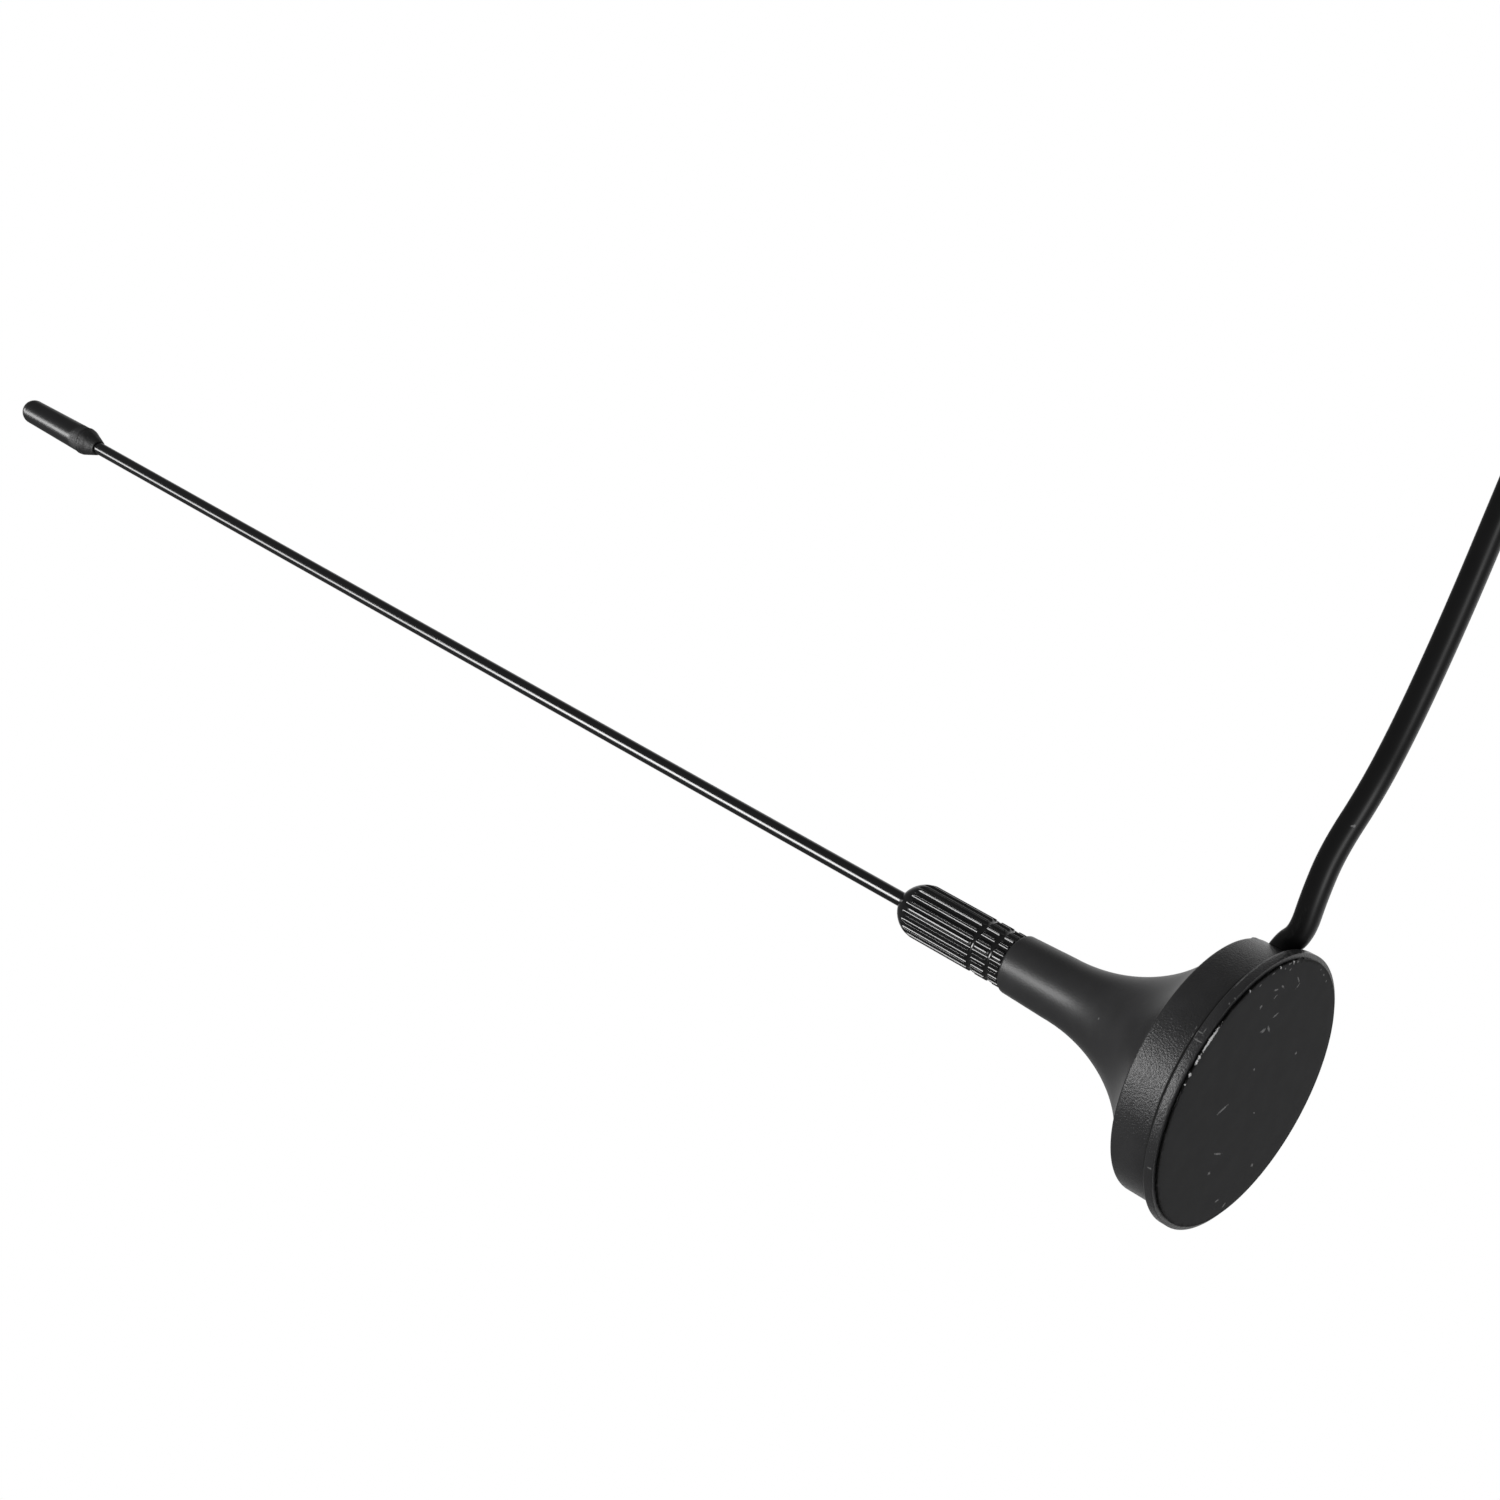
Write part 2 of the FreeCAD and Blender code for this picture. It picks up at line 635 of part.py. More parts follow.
# Every object solved, every cut took material away, every sub-part a sound solid
for item in doc.Objects:
    if "Invalid" in item.State or "Error" in item.State:
        raise RuntimeError(f"{item.Name} failed: {item.State}")
for item in cuts:
    if item.Shape.Volume >= item.BaseFeature.Shape.Volume - 1e-6:
        raise RuntimeError(f"{item.Name} cut nothing")
os.makedirs("parts", exist_ok=True)
for item in nodes:
    if item.Shape.isNull() or not item.Shape.isValid() or not item.Shape.Solids:
        raise RuntimeError(f"{item.Label} is not a sound solid")
for item in nodes:
    item.Shape.exportStep(f"parts/{item.Label}.step")
    print(item.Label, len(item.Shape.Solids), f"{item.Shape.Volume:.2f}")
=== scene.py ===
import math

import bpy
from mathutils import Matrix, Vector, noise


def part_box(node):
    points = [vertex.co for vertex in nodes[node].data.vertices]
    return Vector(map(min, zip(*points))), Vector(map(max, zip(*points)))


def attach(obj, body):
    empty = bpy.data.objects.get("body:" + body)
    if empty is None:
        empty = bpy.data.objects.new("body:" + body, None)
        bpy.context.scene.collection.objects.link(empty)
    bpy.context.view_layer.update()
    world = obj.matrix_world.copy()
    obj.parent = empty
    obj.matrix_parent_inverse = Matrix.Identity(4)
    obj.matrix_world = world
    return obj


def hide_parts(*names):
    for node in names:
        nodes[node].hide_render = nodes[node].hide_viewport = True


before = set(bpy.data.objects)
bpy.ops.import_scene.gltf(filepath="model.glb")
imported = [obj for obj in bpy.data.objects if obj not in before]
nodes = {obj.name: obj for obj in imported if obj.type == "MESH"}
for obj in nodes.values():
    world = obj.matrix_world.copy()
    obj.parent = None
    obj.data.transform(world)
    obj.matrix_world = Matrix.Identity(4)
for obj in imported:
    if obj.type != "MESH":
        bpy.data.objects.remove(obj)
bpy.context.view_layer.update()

MM = 0.001


# Base housing: one black moulding that flares like a trumpet from the neck to a drum and a thin flange.
# Injection-moulded plastic with a fine spark grain, stronger on the drum's wall than on the trumpet.
# The cable comes out of an arched slot in the wall, whose upper lip has lifted into a small burr.
def add(tree, kind, values=(), **settings):
    """Adds a shader node, with its properties and the plain values of its inputs."""
    item = tree.nodes.new("ShaderNode" + kind)
    for name, setting in settings.items():
        setattr(item, name, setting)
    for socket, value in dict(values).items():
        item.inputs[socket].default_value = value
    return item


def new_group(name, inputs, outputs):
    """Empty shader group with float sockets, apart from its Vector and Place, which are vectors."""
    tree = bpy.data.node_groups.new(name, "ShaderNodeTree")
    for socket, value in inputs.items():
        kind = "NodeSocketVector" if socket in ("Vector", "Place") else "NodeSocketFloat"
        made = tree.interface.new_socket(socket, in_out="INPUT", socket_type=kind)
        if value is not None:
            made.default_value = value
    for socket in outputs:
        tree.interface.new_socket(socket, in_out="OUTPUT", socket_type="NodeSocketFloat")
    return tree, tree.nodes.new("NodeGroupInput"), tree.nodes.new("NodeGroupOutput")


def new_finish(name, colour, roughness, specular=0.5, metallic=0.0):
    """Material with one Principled shader and Object coordinates, ready for its own detail."""
    made = bpy.data.materials.new(name)
    made.use_nodes = True
    tree = made.node_tree
    shader = tree.nodes["Principled BSDF"]
    shader.inputs["Base Color"].default_value = (*colour, 1)
    shader.inputs["Roughness"].default_value = roughness
    shader.inputs["Specular IOR Level"].default_value = specular
    shader.inputs["Metallic"].default_value = metallic
    return made, tree, shader, add(tree, "TexCoord").outputs["Object"]


def paint(piece, material):
    """Gives a piece one material in place of what it had."""
    piece.data.materials.clear()
    piece.data.materials.append(material)


def arc(centre, radius, start, end, steps):
    """Profile points along an arc, angles in degrees."""
    turns = [math.radians(start + (end - start) * step / steps) for step in range(steps + 1)]
    return [(centre[0] + radius * math.cos(turn), centre[1] + radius * math.sin(turn)) for turn in turns]


def straight(start, end, rows):
    """Profile points along a straight line, without its first."""
    run = end[0] - start[0]
    rise = end[1] - start[1]
    return [(start[0] + run * row / rows, start[1] + rise * row / rows) for row in range(1, rows + 1)]


def lathe(name, profile, segments):
    """Extrudes a profile of (radius, height) points, spins it about the whip's axis and closes it."""
    bpy.ops.object.select_all(action="DESELECT")
    bpy.ops.mesh.primitive_plane_add(size=MM)
    piece = bpy.context.object
    piece.name = name
    bpy.ops.object.mode_set(mode="EDIT")
    bpy.ops.mesh.select_all(action="SELECT")
    bpy.ops.mesh.merge(type="CENTER")
    spots = [Vector((radius, 0, height)) for radius, height in profile]
    bpy.ops.transform.translate(value=spots[0])
    for here, there in zip(spots, spots[1:]):
        bpy.ops.mesh.extrude_region_move(TRANSFORM_OT_translate={"value": there - here})
    bpy.ops.mesh.select_all(action="SELECT")
    bpy.ops.mesh.spin(steps=segments, angle=math.tau, center=(0, 0, 0), axis=(0, 0, 1))
    bpy.ops.mesh.select_all(action="SELECT")
    bpy.ops.mesh.remove_doubles(threshold=0.002 * MM)
    bpy.ops.mesh.normals_make_consistent(inside=False)
    bpy.ops.object.mode_set(mode="OBJECT")
    bpy.ops.object.shade_smooth_by_angle(angle=math.radians(35))
    return piece


housing_low, housing_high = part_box("base_housing")
flange_radius = housing_high.x
neck_height = housing_high.z
pad_top = housing_low.z
flange_top = pad_top + 1.1 * MM
flange_edge = 0.25 * MM
flange_foot_edge = 0.08 * MM
drum_radius = 13.9 * MM
drum_height = 6.2 * MM
drum_edge = 0.35 * MM
drum_wall = 1.75 * MM
neck_foot_radius = 3.48 * MM
neck_foot_height = 23.2 * MM
neck_top_radius = 3.28 * MM
neck_edge = 0.35 * MM
shell_wall = 2.0 * MM
insert_clearance = 0.02 * MM
insert_length = 9.4 * MM
insert_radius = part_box("neck_insert")[1].x + insert_clearance
insert_seat = neck_height - insert_length
cavity_radius = drum_radius - drum_wall
trumpet_rise = neck_foot_height - drum_height
trumpet_reach = drum_radius - drum_edge - neck_foot_radius
trumpet_radius = (trumpet_rise ** 2 + trumpet_reach ** 2) / (2 * trumpet_reach)
trumpet_centre = (neck_foot_radius + trumpet_radius, neck_foot_height)
trumpet_foot = 180 + math.degrees(math.asin(trumpet_rise / trumpet_radius))
inner_radius = trumpet_radius + shell_wall
inner_top = 180 + math.degrees(math.asin((neck_foot_height - insert_seat) / inner_radius))
inner_foot = 180 + math.degrees(math.acos((trumpet_centre[0] - cavity_radius) / inner_radius))
housing_profile = [
    (cavity_radius, pad_top),
    *arc((flange_radius - flange_foot_edge, pad_top + flange_foot_edge), flange_foot_edge, -90, 0, 4),
    *arc((flange_radius - flange_edge, flange_top - flange_edge), flange_edge, 0, 90, 6),
    (drum_radius, flange_top),
    *straight((drum_radius, flange_top), (drum_radius, drum_height - drum_edge), 12)[:-1],
    *arc((drum_radius - drum_edge, drum_height - drum_edge), drum_edge, 0, 90, 6),
    *arc(trumpet_centre, trumpet_radius, trumpet_foot, 180, 48)[1:],
    *arc((neck_top_radius - neck_edge, neck_height - neck_edge), neck_edge, 0, 90, 6),
    (insert_radius, neck_height),
    (insert_radius, insert_seat),
    *arc(trumpet_centre, inner_radius, inner_top, inner_foot, 24),
    (cavity_radius, pad_top),
]
housing = lathe("housing_shell", housing_profile, 288)

cable_radius = 1.35 * MM
cable_height = 4.3 * MM
slot_clearance = 0.1 * MM
slot_half = cable_radius + slot_clearance
slot_depth = 8 * MM
bpy.ops.object.select_all(action="DESELECT")
bpy.ops.mesh.primitive_cylinder_add(
    vertices=48, radius=slot_half, depth=slot_depth,
    location=(drum_radius, 0, cable_height), rotation=(0, math.pi / 2, 0))
slot_arch = bpy.context.object
bpy.ops.mesh.primitive_cube_add(
    size=1, location=(drum_radius, 0, (flange_top + cable_height) / 2),
    scale=(slot_depth, 2 * slot_half, cable_height - flange_top))
slot_foot = bpy.context.object
for cutter in (slot_arch, slot_foot):
    cut = housing.modifiers.new("cable slot", "BOOLEAN")
    cut.object = cutter
    cut.operation = "DIFFERENCE"
    bpy.context.view_layer.objects.active = housing
    bpy.ops.object.modifier_apply(modifier=cut.name)
    bpy.data.objects.remove(cutter)

burr_place = Vector((13.35 * MM, -2.5 * MM, drum_height))
burr_reach = 0.9 * MM
burr_lift = Vector((0.15 * MM, -0.03 * MM, 0.22 * MM))
for vertex in housing.data.vertices:
    near = 1 - (vertex.co - burr_place).length / burr_reach
    if near > 0:
        vertex.co += burr_lift * near ** 1.5

grain, grain_in, grain_out = new_group("moulded grain", {"Vector": None, "Size": 0.2 * MM}, ["Height"])
per_size = add(grain, "Math", {0: 1.0}, operation="DIVIDE")
spark = add(grain, "TexNoise", {"Detail": 3.0, "Roughness": 0.6})
grain.links.new(grain_in.outputs["Size"], per_size.inputs[1])
grain.links.new(grain_in.outputs["Vector"], spark.inputs["Vector"])
grain.links.new(per_size.outputs[0], spark.inputs["Scale"])
grain.links.new(spark.outputs[0], grain_out.inputs["Height"])

mark_depth = 0.3 * MM
scuff, scuff_in, scuff_out = new_group("scuff mark", {
    "Vector": None, "Place": None, "Turn": 0.0, "Length": MM, "Width": 0.2 * MM, "Height": 0.2 * MM,
}, ["Mask"])
from_place = add(scuff, "VectorMath", operation="SUBTRACT")
turned = add(scuff, "VectorRotate", rotation_type="Z_AXIS")
by_size = add(scuff, "VectorMath", operation="DIVIDE")
sizes = add(scuff, "CombineXYZ")
away = add(scuff, "VectorMath", operation="LENGTH")
ragged = add(scuff, "TexNoise", {"Scale": 6000.0, "Detail": 2.0})
uneven = add(scuff, "MapRange", {"From Min": 0.3, "From Max": 0.7, "To Min": -0.5, "To Max": 0.5})
spread = add(scuff, "Math", operation="ADD")
within = add(scuff, "MapRange", {"From Min": 1.0, "From Max": 0.6})
scuff.links.new(scuff_in.outputs["Vector"], from_place.inputs[0])
scuff.links.new(scuff_in.outputs["Place"], from_place.inputs[1])
scuff.links.new(from_place.outputs[0], turned.inputs["Vector"])
scuff.links.new(scuff_in.outputs["Turn"], turned.inputs["Angle"])
scuff.links.new(turned.outputs[0], by_size.inputs[0])
scuff.links.new(scuff_in.outputs["Length"], sizes.inputs["X"])
scuff.links.new(scuff_in.outputs["Width"], sizes.inputs["Y"])
scuff.links.new(scuff_in.outputs["Height"], sizes.inputs["Z"])
scuff.links.new(sizes.outputs[0], by_size.inputs[1])
scuff.links.new(by_size.outputs[0], away.inputs[0])
scuff.links.new(scuff_in.outputs["Vector"], ragged.inputs["Vector"])
scuff.links.new(ragged.outputs[0], uneven.inputs["Value"])
scuff.links.new(away.outputs["Value"], spread.inputs[0])
scuff.links.new(uneven.outputs[0], spread.inputs[1])
scuff.links.new(spread.outputs[0], within.inputs["Value"])
scuff.links.new(within.outputs[0], scuff_out.inputs["Mask"])


def rim_mark(radius, azimuth, height, length, tall):
    """Scuff on an upright round wall, as scuffs() takes it, from its place and its half sizes in mm."""
    x = radius * math.cos(math.radians(azimuth))
    y = radius * math.sin(math.radians(azimuth))
    return (x, y, height * MM, azimuth + 90, length * MM, mark_depth, tall * MM)


def scuffs(tree, where, marks):
    """Mask of several scuffs, each (x, y, z, turn in degrees, half length, half width, half height)."""
    together = None
    for x, y, z, turn, length, width, height in marks:
        mark = add(tree, "Group", node_tree=scuff)
        mark.inputs["Place"].default_value = (x, y, z)
        mark.inputs["Turn"].default_value = -math.radians(turn)
        mark.inputs["Length"].default_value = length
        mark.inputs["Width"].default_value = width
        mark.inputs["Height"].default_value = height
        tree.links.new(where, mark.inputs["Vector"])
        if together is None:
            together = mark.outputs["Mask"]
            continue
        most = add(tree, "Math", operation="MAXIMUM")
        tree.links.new(together, most.inputs[0])
        tree.links.new(mark.outputs["Mask"], most.inputs[1])
        together = most.outputs[0]
    return together


def moulded(name, colour, roughness, grain_size, grain_depth, polished=True):
    """Moulded black plastic or rubber: a grain, and faint blotches of handling in tone and polish."""
    made, tree, shader, where = new_finish(name, colour, roughness)
    texture = add(tree, "Group", {"Size": grain_size}, node_tree=grain)
    blotch = add(tree, "TexNoise", {"Scale": 350.0, "Detail": 4.0})
    tone = add(tree, "MapRange", {"From Min": 0.3, "From Max": 0.7, "To Min": 0.88, "To Max": 1.12})
    shade = add(tree, "Mix", {"Factor": 1.0, 6: (*colour, 1)}, data_type="RGBA", blend_type="MULTIPLY")
    bump = add(tree, "Bump", {"Strength": 1.0, "Distance": grain_depth})
    tree.links.new(where, texture.inputs["Vector"])
    tree.links.new(where, blotch.inputs["Vector"])
    tree.links.new(blotch.outputs[0], tone.inputs["Value"])
    tree.links.new(tone.outputs[0], shade.inputs[7])
    tree.links.new(texture.outputs["Height"], bump.inputs["Height"])
    tree.links.new(bump.outputs[0], shader.inputs["Normal"])
    tree.links.new(shade.outputs[2], shader.inputs["Base Color"])
    if polished:
        polish = add(tree, "MapRange", {"To Min": roughness - 0.04, "To Max": roughness + 0.06})
        tree.links.new(blotch.outputs[0], polish.inputs["Value"])
        tree.links.new(polish.outputs[0], shader.inputs["Roughness"])
    return made, tree, shader, where


def overlay(tree, shader, mask, colour):
    """Lays another colour over a surface's own where a mask says."""
    over = add(tree, "Mix", {7: (*colour, 1)}, data_type="RGBA")
    tree.links.new(shader.inputs["Base Color"].links[0].from_socket, over.inputs[6])
    tree.links.new(mask, over.inputs["Factor"])
    tree.links.new(over.outputs[2], shader.inputs["Base Color"])


wall_roughness = 0.3
trumpet_roughness = 0.375
trumpet_share_of_grain = 0.22
housing_black, housing_tree, housing_shader, housing_where = moulded(
    "housing moulding", (0.03, 0.03, 0.031), wall_roughness, grain_size=0.22 * MM, grain_depth=0.064 * MM)
housing_axes = add(housing_tree, "SeparateXYZ")
drum_brink = {"From Min": drum_height - drum_edge, "From Max": drum_height}
trumpet_grain = add(housing_tree, "MapRange", {
    **drum_brink, "To Min": 1.0, "To Max": trumpet_share_of_grain})
trumpet_dull = add(housing_tree, "MapRange", {
    **drum_brink, "To Max": trumpet_roughness - wall_roughness})
housing_dull = add(housing_tree, "Math", operation="ADD")
housing_tree.links.new(housing_where, housing_axes.inputs[0])
housing_tree.links.new(housing_axes.outputs["Z"], trumpet_grain.inputs["Value"])
housing_tree.links.new(trumpet_grain.outputs[0], housing_tree.nodes["Bump"].inputs["Strength"])
# Scratches, and in the flange's last four rows a painted highlight along its upper edge: azimuth in
# degrees, then height, half length and half height in mm
flange_scratches_and_highlight = [
    (-80.8, 0.85, 0.09, 0.55),
    (-77.8, 1.05, 0.08, 0.35),
    (-79.0, 1.33, 0.45, 0.07),
    (-76.4, 0.75, 0.3, 0.06),
    (-133.5, 0.65, 0.12, 0.25),
    (-22.0, 0.7, 0.12, 0.3),
    (-28.5, 0.4, 0.1, 0.1),
    (-23.5, 0.45, 0.1, 0.12),
    (-60.0, 0.4, 0.1, 0.1),
    (-63.0, 0.45, 0.14, 0.08),
    # Painted highlight along the flange's rounded upper edge
    (-51.0, 1.17, 1.3, 0.06),
    (-43.0, 1.15, 1.2, 0.07),
    (-35.0, 1.14, 1.3, 0.07),
    (-28.0, 1.12, 1.0, 0.07),
]
wall_scratches = [
    (-79.3, 2.05, 0.3, 0.08),
    (-76.3, 2.15, 0.25, 0.06),
]
trumpet_speck = (-0.57 * MM, -5.02 * MM, 15.37 * MM, 0, 0.13 * MM, 0.2 * MM, 0.13 * MM)
housing_marks_and_highlight = scuffs(housing_tree, housing_where, [
    trumpet_speck,
    *[rim_mark(flange_radius, *scratch) for scratch in flange_scratches_and_highlight],
    *[rim_mark(drum_radius, *scratch) for scratch in wall_scratches],
])
overlay(housing_tree, housing_shader, housing_marks_and_highlight, (0.15, 0.15, 0.15))
# Painted shade: a near-black line along the foot of the drum's wall where it meets the flange, which is
# also made rougher there.
housing_flat = add(housing_tree, "VectorMath", {1: (1, 1, 0)}, operation="MULTIPLY")
housing_reach = add(housing_tree, "VectorMath", operation="LENGTH")
corner_near = drum_radius + 0.1 * MM
corner_far = drum_radius + 0.3 * MM
corner_dark = flange_top + 0.5 * MM
corner_end = flange_top + 0.75 * MM
on_wall = add(housing_tree, "MapRange", {"From Min": corner_far, "From Max": corner_near})
at_foot = add(housing_tree, "MapRange", {"From Min": corner_end, "From Max": corner_dark})
corner_shade_mask = add(housing_tree, "Math", operation="MULTIPLY")
housing_tree.links.new(housing_where, housing_flat.inputs[0])
housing_tree.links.new(housing_flat.outputs[0], housing_reach.inputs[0])
housing_tree.links.new(housing_reach.outputs["Value"], on_wall.inputs["Value"])
housing_tree.links.new(housing_axes.outputs["Z"], at_foot.inputs["Value"])
housing_tree.links.new(on_wall.outputs[0], corner_shade_mask.inputs[0])
housing_tree.links.new(at_foot.outputs[0], corner_shade_mask.inputs[1])
overlay(housing_tree, housing_shader, corner_shade_mask.outputs[0], (0.004, 0.004, 0.004))
housing_polish = housing_shader.inputs["Roughness"].links[0].from_socket
housing_rough = add(housing_tree, "Math", operation="MAXIMUM")
housing_tree.links.new(housing_axes.outputs["Z"], trumpet_dull.inputs["Value"])
housing_tree.links.new(housing_polish, housing_dull.inputs[0])
housing_tree.links.new(trumpet_dull.outputs[0], housing_dull.inputs[1])
housing_tree.links.new(housing_dull.outputs[0], housing_rough.inputs[0])
housing_tree.links.new(corner_shade_mask.outputs[0], housing_rough.inputs[1])
housing_tree.links.new(housing_rough.outputs[0], housing_shader.inputs["Roughness"])
paint(housing, housing_black)
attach(housing, "root")
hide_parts("base_housing")


# Ring magnet and the plate on it: a sintered ferrite ring glued to the pad, and a tinned steel disc on
# it that the cable's screen is soldered to. Both are shut in the drum with the tinned wires and the solder.
ferrite, ferrite_tree, ferrite_shader, ferrite_where = new_finish(
    "sintered ferrite", (0.05, 0.05, 0.052), roughness=0.75)
ferrite_grit = add(ferrite_tree, "TexNoise", {"Scale": 4000.0, "Detail": 4.0})
ferrite_bump = add(ferrite_tree, "Bump", {"Distance": 0.03 * MM})
ferrite_tree.links.new(ferrite_where, ferrite_grit.inputs["Vector"])
ferrite_tree.links.new(ferrite_grit.outputs[0], ferrite_bump.inputs["Height"])
ferrite_tree.links.new(ferrite_bump.outputs[0], ferrite_shader.inputs["Normal"])
paint(nodes["magnet"], ferrite)


def metal(name, colour, roughness, streak_scale):
    """Bare metal whose polish varies in fine streaks along Z."""
    made, tree, shader, where = new_finish(name, colour, roughness, metallic=1.0)
    stretch = add(tree, "Mapping", {"Scale": (1.0, 1.0, 0.1)})
    streaks = add(tree, "TexNoise", {"Scale": streak_scale, "Detail": 5.0})
    polish = add(tree, "MapRange", {"To Min": roughness - 0.08, "To Max": roughness + 0.14})
    tree.links.new(where, stretch.inputs["Vector"])
    tree.links.new(stretch.outputs[0], streaks.inputs["Vector"])
    tree.links.new(streaks.outputs[0], polish.inputs["Value"])
    tree.links.new(polish.outputs[0], shader.inputs["Roughness"])
    return made


tinned = metal("tinned steel", (0.6, 0.6, 0.58), roughness=0.35, streak_scale=3000.0)
for name in ("ground_plate", "feed_wire", "feed_solder", "braid_pigtail", "ground_solder"):
    paint(nodes[name], tinned)


# Neck insert: a turned brass bush pressed into the neck, threaded for the collar's stud. The cable's
# milky core runs up to the solder cup under it.
brass = metal("turned brass", (0.65, 0.47, 0.2), roughness=0.3, streak_scale=5000.0)
paint(nodes["neck_insert"], brass)
milky, milky_tree, milky_shader, milky_where = new_finish(
    "milky plastic", (0.8, 0.8, 0.77), roughness=0.35)
milky_cloud = add(milky_tree, "TexNoise", {"Scale": 900.0})
milky_polish = add(milky_tree, "MapRange", {"To Min": 0.28, "To Max": 0.45})
milky_tree.links.new(milky_where, milky_cloud.inputs["Vector"])
milky_tree.links.new(milky_cloud.outputs[0], milky_polish.inputs["Value"])
milky_tree.links.new(milky_polish.outputs[0], milky_shader.inputs["Roughness"])
for name in ("feed_core", "plug_insulator"):
    paint(nodes[name], milky)


# Pad: a thin disc of dull black sheet stuck under the flange, with a dark seam above its ragged cut edge.
# Its rim has painted shade, darker towards the edge, and a painted highlight among white flecks on one
# side, and light scratches and specks cross its face.
pad_low, pad_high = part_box("base_pad")
pad_radius = pad_high.x
pad_edge = 0.08 * MM
seam_depth = 0.35 * MM
seam_width = 0.12 * MM
ragged_by = 0.18 * MM
ragged_scale = 24
pad = lathe("pad_disc", [
    (0, pad_low.z),
    *straight((0, pad_low.z), (pad_radius, pad_low.z), 12)[:-1],
    *arc((pad_radius - pad_edge, pad_low.z + pad_edge), pad_edge, -90, 0, 6),
    (pad_radius, pad_high.z - seam_width),
    (pad_radius - seam_depth, pad_high.z - seam_width / 2),
    (pad_radius - seam_depth, pad_high.z),
    (0, pad_high.z),
], 480)
for vertex in pad.data.vertices:
    radius = vertex.co.xy.length
    if radius > pad_radius - 2 * pad_edge and vertex.co.z > 2 * pad_edge:
        around = vertex.co.normalized() * ragged_scale
        shift = ragged_by * (0.6 * noise.noise(around) + noise.noise(around * 4))
        vertex.co.xy *= (radius + shift) / radius
# Scratches and specks on the face: x, y, turn in degrees, half length and half width, in mm
pad_marks = [
    (-2.4, -3.8, 42, 0.9, 0.17),
    (-6.5, 0.4, 81, 0.85, 0.13),
    (6.1, -4.3, 60, 0.5, 0.22),
    (6.5, -3.3, 110, 0.55, 0.15),
    (8.0, -3.4, 45, 0.5, 0.13),
    (8.0, -7.5, 20, 0.25, 0.2),
    (12.05, -2.7, 111, 0.7, 0.09),
    (11.5, -2.05, 20, 0.4, 0.09),
    (12.33, -6.73, 0, 0.13, 0.13),
    (12.47, -5.56, 30, 0.16, 0.12),
    (13.5, -4.9, 60, 0.2, 0.12),
    (12.9, -6.3, 60, 0.3, 0.1),
    (11.3, -8.6, 50, 0.25, 0.1),
    (9.7, -10.0, 40, 0.2, 0.13),
    (13.7, 2.3, 100, 0.22, 0.1),
    (14.0, 1.0, 80, 0.16, 0.1),
    (13.3, 3.6, 120, 0.16, 0.1),
    (10.1, -6.2, 70, 0.5, 0.12),
    (10.7, -5.2, 95, 0.4, 0.1),
    (9.5, -5.6, 30, 0.3, 0.1),
    (5.7, 5.6, 0, 0.16, 0.2),
    (2.4, -1.7, 0, 0.13, 0.2),
    (-1.4, 3.5, 0, 0.1, 0.2),
    (-6.2, 9.5, 0, 0.2, 0.3),
    (-8.6, 0.8, 0, 0.2, 0.25),
    (-10.8, 5.9, 50, 0.4, 0.13),
    (-11.0, 8.0, 20, 0.35, 0.13),
]
pad_roughness = 0.62
rim_roughness = 0.25
pad_black, pad_tree, pad_shader, pad_where = moulded(
    "pad sheet", (0.025, 0.025, 0.026), pad_roughness, grain_size=0.3 * MM, grain_depth=0.006 * MM,
    polished=False)
# Painted shade: a ragged band round the face's rim, darker towards the edge.
rim_shade_width = 0.3 * MM
pad_flat = add(pad_tree, "VectorMath", {1: (1, 1, 0)}, operation="MULTIPLY")
pad_reach = add(pad_tree, "VectorMath", operation="LENGTH")
pad_torn = add(pad_tree, "TexNoise", {"Scale": 1500.0, "Detail": 4.0, "Roughness": 0.7})
pad_uneven = add(pad_tree, "MapRange", {
    "From Min": 0.3, "From Max": 0.7, "To Min": -rim_shade_width, "To Max": rim_shade_width})
pad_out = add(pad_tree, "Math", operation="ADD")
rim_shade_mask = add(pad_tree, "MapRange", {
    "From Min": pad_radius - rim_shade_width, "From Max": pad_radius - rim_shade_width / 2})
pad_tree.links.new(pad_where, pad_flat.inputs[0])
pad_tree.links.new(pad_flat.outputs[0], pad_reach.inputs[0])
pad_tree.links.new(pad_where, pad_torn.inputs["Vector"])
pad_tree.links.new(pad_torn.outputs[0], pad_uneven.inputs["Value"])
pad_tree.links.new(pad_reach.outputs["Value"], pad_out.inputs[0])
pad_tree.links.new(pad_uneven.outputs[0], pad_out.inputs[1])
pad_tree.links.new(pad_out.outputs[0], rim_shade_mask.inputs["Value"])
overlay(pad_tree, pad_shader, rim_shade_mask.outputs[0], (0.006, 0.006, 0.006))
pad_scuffs = scuffs(pad_tree, pad_where, [
    (x * MM, y * MM, 0, turn, length * MM, width * MM, pad_edge)
    for x, y, turn, length, width in pad_marks
])
overlay(pad_tree, pad_shader, pad_scuffs, (0.24, 0.24, 0.24))
# White flecks along the rim, and a painted highlight on its lower edge: azimuth in degrees, half length and
# half height in mm
rim_spot_height = 0.03
pad_flecks_and_highlight = [
    (-97.0, 0.1, 0.06),
    (-93.0, 0.2, 0.09),
    (-87.6, 0.28, 0.12),
    (-85.7, 0.2, 0.14),
    # Painted highlight along the rim's lower edge
    (-78.0, 2.0, 0.11),
    (-52.5, 0.1, 0.12),
    (-32.5, 0.12, 0.14),
    (-23.0, 0.14, 0.14),
]
pad_flecks_and_highlight_mask = scuffs(pad_tree, pad_where, [
    rim_mark(pad_radius, azimuth, rim_spot_height, length, tall)
    for azimuth, length, tall in pad_flecks_and_highlight
])
overlay(pad_tree, pad_shader, pad_flecks_and_highlight_mask, (0.9, 0.9, 0.9))
pad_shader.inputs["Specular IOR Level"].default_value = 0.12
